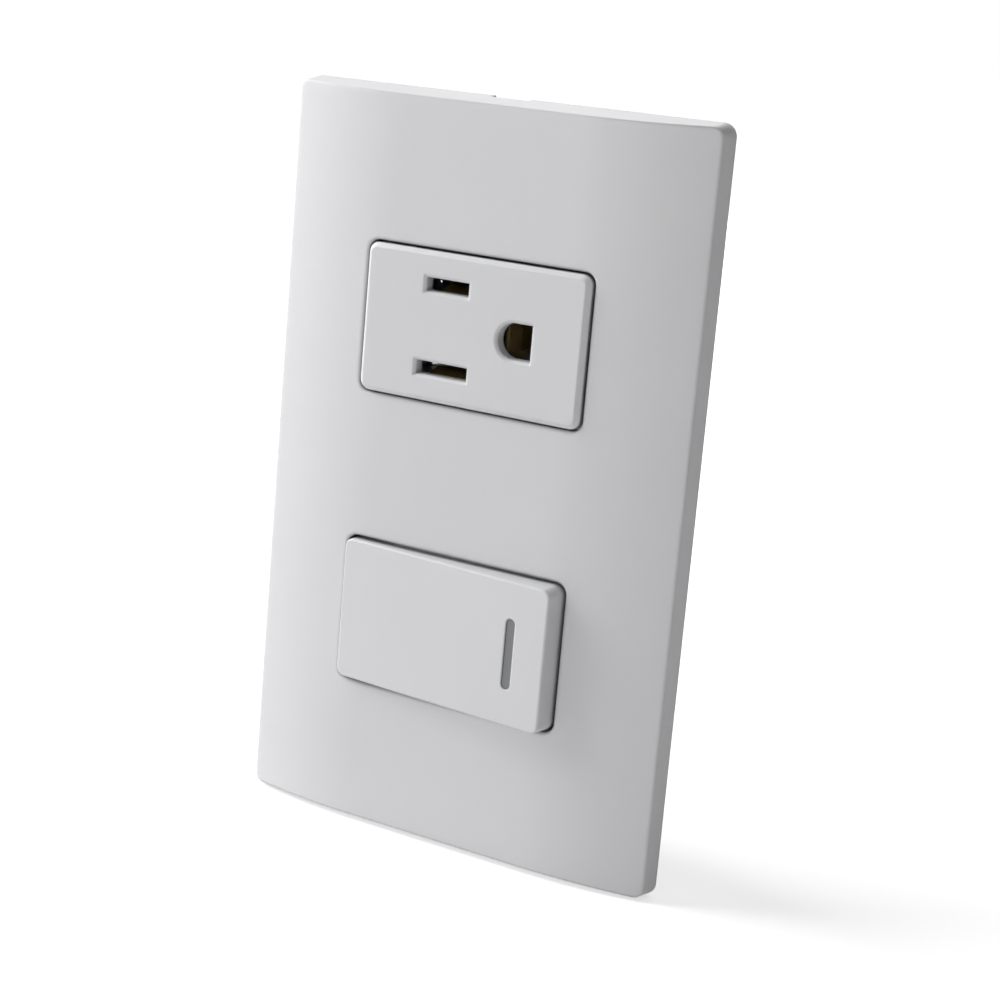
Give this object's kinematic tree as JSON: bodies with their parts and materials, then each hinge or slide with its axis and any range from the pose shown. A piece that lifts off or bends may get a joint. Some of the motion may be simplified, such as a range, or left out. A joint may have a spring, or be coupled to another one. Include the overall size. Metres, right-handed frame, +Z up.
{
  "type": "switch and socket combination",
  "caption": "Upright wall plate with a softly crowned front, a grounded socket module above and a wide rocker switch module below, on a screw-fixed mounting frame.",
  "frame": {"origin": "on the wall plane, at the middle of the plate and of the two wall-box screw holes", "axes": "+Z up the wall, +X to the right as seen from the room, -Y out of the wall towards the room"},
  "size_m": [0.072, 0.0297, 0.116],
  "materials": {
    "plate_plastic": "white moulded plastic with a fine satin surface",
    "front_plastic": "white moulded plastic, satin",
    "frame_plastic": "pale grey glass-filled plastic, matt",
    "base_plastic": "pale grey heat-proof plastic, matt",
    "locator_plastic": "grey translucent plastic strip",
    "plunger_nylon": "natural nylon",
    "contact_brass": "stamped brass strip",
    "screw_brass": "bright brass",
    "screw_plated": "nickel-plated steel",
    "screw_green": "steel screw dyed green",
    "clamp_steel": "zinc-plated steel",
    "spring_steel": "spring wire",
    "tip_silver": "silver alloy contact tip"
  },
  "bodies": {
    "body": {"cover_plate": "plate_plastic", "mounting_frame": "frame_plastic", "socket_housing": "front_plastic", "socket_base": "base_plastic", "line_contact": "contact_brass", "neutral_contact": "contact_brass", "ground_contact": "contact_brass", "line_screw": "screw_brass", "neutral_screw": "screw_plated", "ground_screw": "screw_green", "line_clamp": "clamp_steel", "neutral_clamp": "clamp_steel", "ground_clamp": "clamp_steel", "socket_case_screws": "screw_plated", "switch_housing": "front_plastic", "switch_base": "base_plastic", "fixed_tip": "tip_silver", "common_terminal": "contact_brass", "load_terminal": "contact_brass", "common_screw": "screw_plated", "load_screw": "screw_brass", "common_clamp": "clamp_steel", "load_clamp": "clamp_steel", "switch_case_screws": "screw_plated"},
    "rocker": {"rocker": "front_plastic", "locator_strip": "locator_plastic", "plunger_spring": "spring_steel"},
    "plunger": {"plunger": "plunger_nylon"},
    "bridge": {"contact_bridge": "contact_brass", "moving_tip": "tip_silver"}
  },
  "joints": [
    {"name": "rocker_pivot", "type": "hinge", "parent": "body", "child": "rocker", "pos_m": [0, -0.0036, -0.0232], "axis": [0, 0, 1], "range_deg": [0, 8]},
    {"name": "bridge_pivot", "type": "hinge", "parent": "body", "child": "bridge", "pos_m": [0, 0.0086, -0.0232], "axis": [0, 0, 1], "range_deg": [-10, 0]},
    {"name": "plunger_slide", "type": "slide", "parent": "rocker", "child": "plunger", "axis": [-0.0698, -0.9976, 0], "range_m": [0, 0.0006], "stiffness_N_per_m": 300, "springref_m": -0.001, "deforming": ["plunger_spring"]}
  ],
  "couplings": [
    {"joint": "bridge_pivot", "follows": "rocker_pivot", "ratio": -1.25}
  ]
}
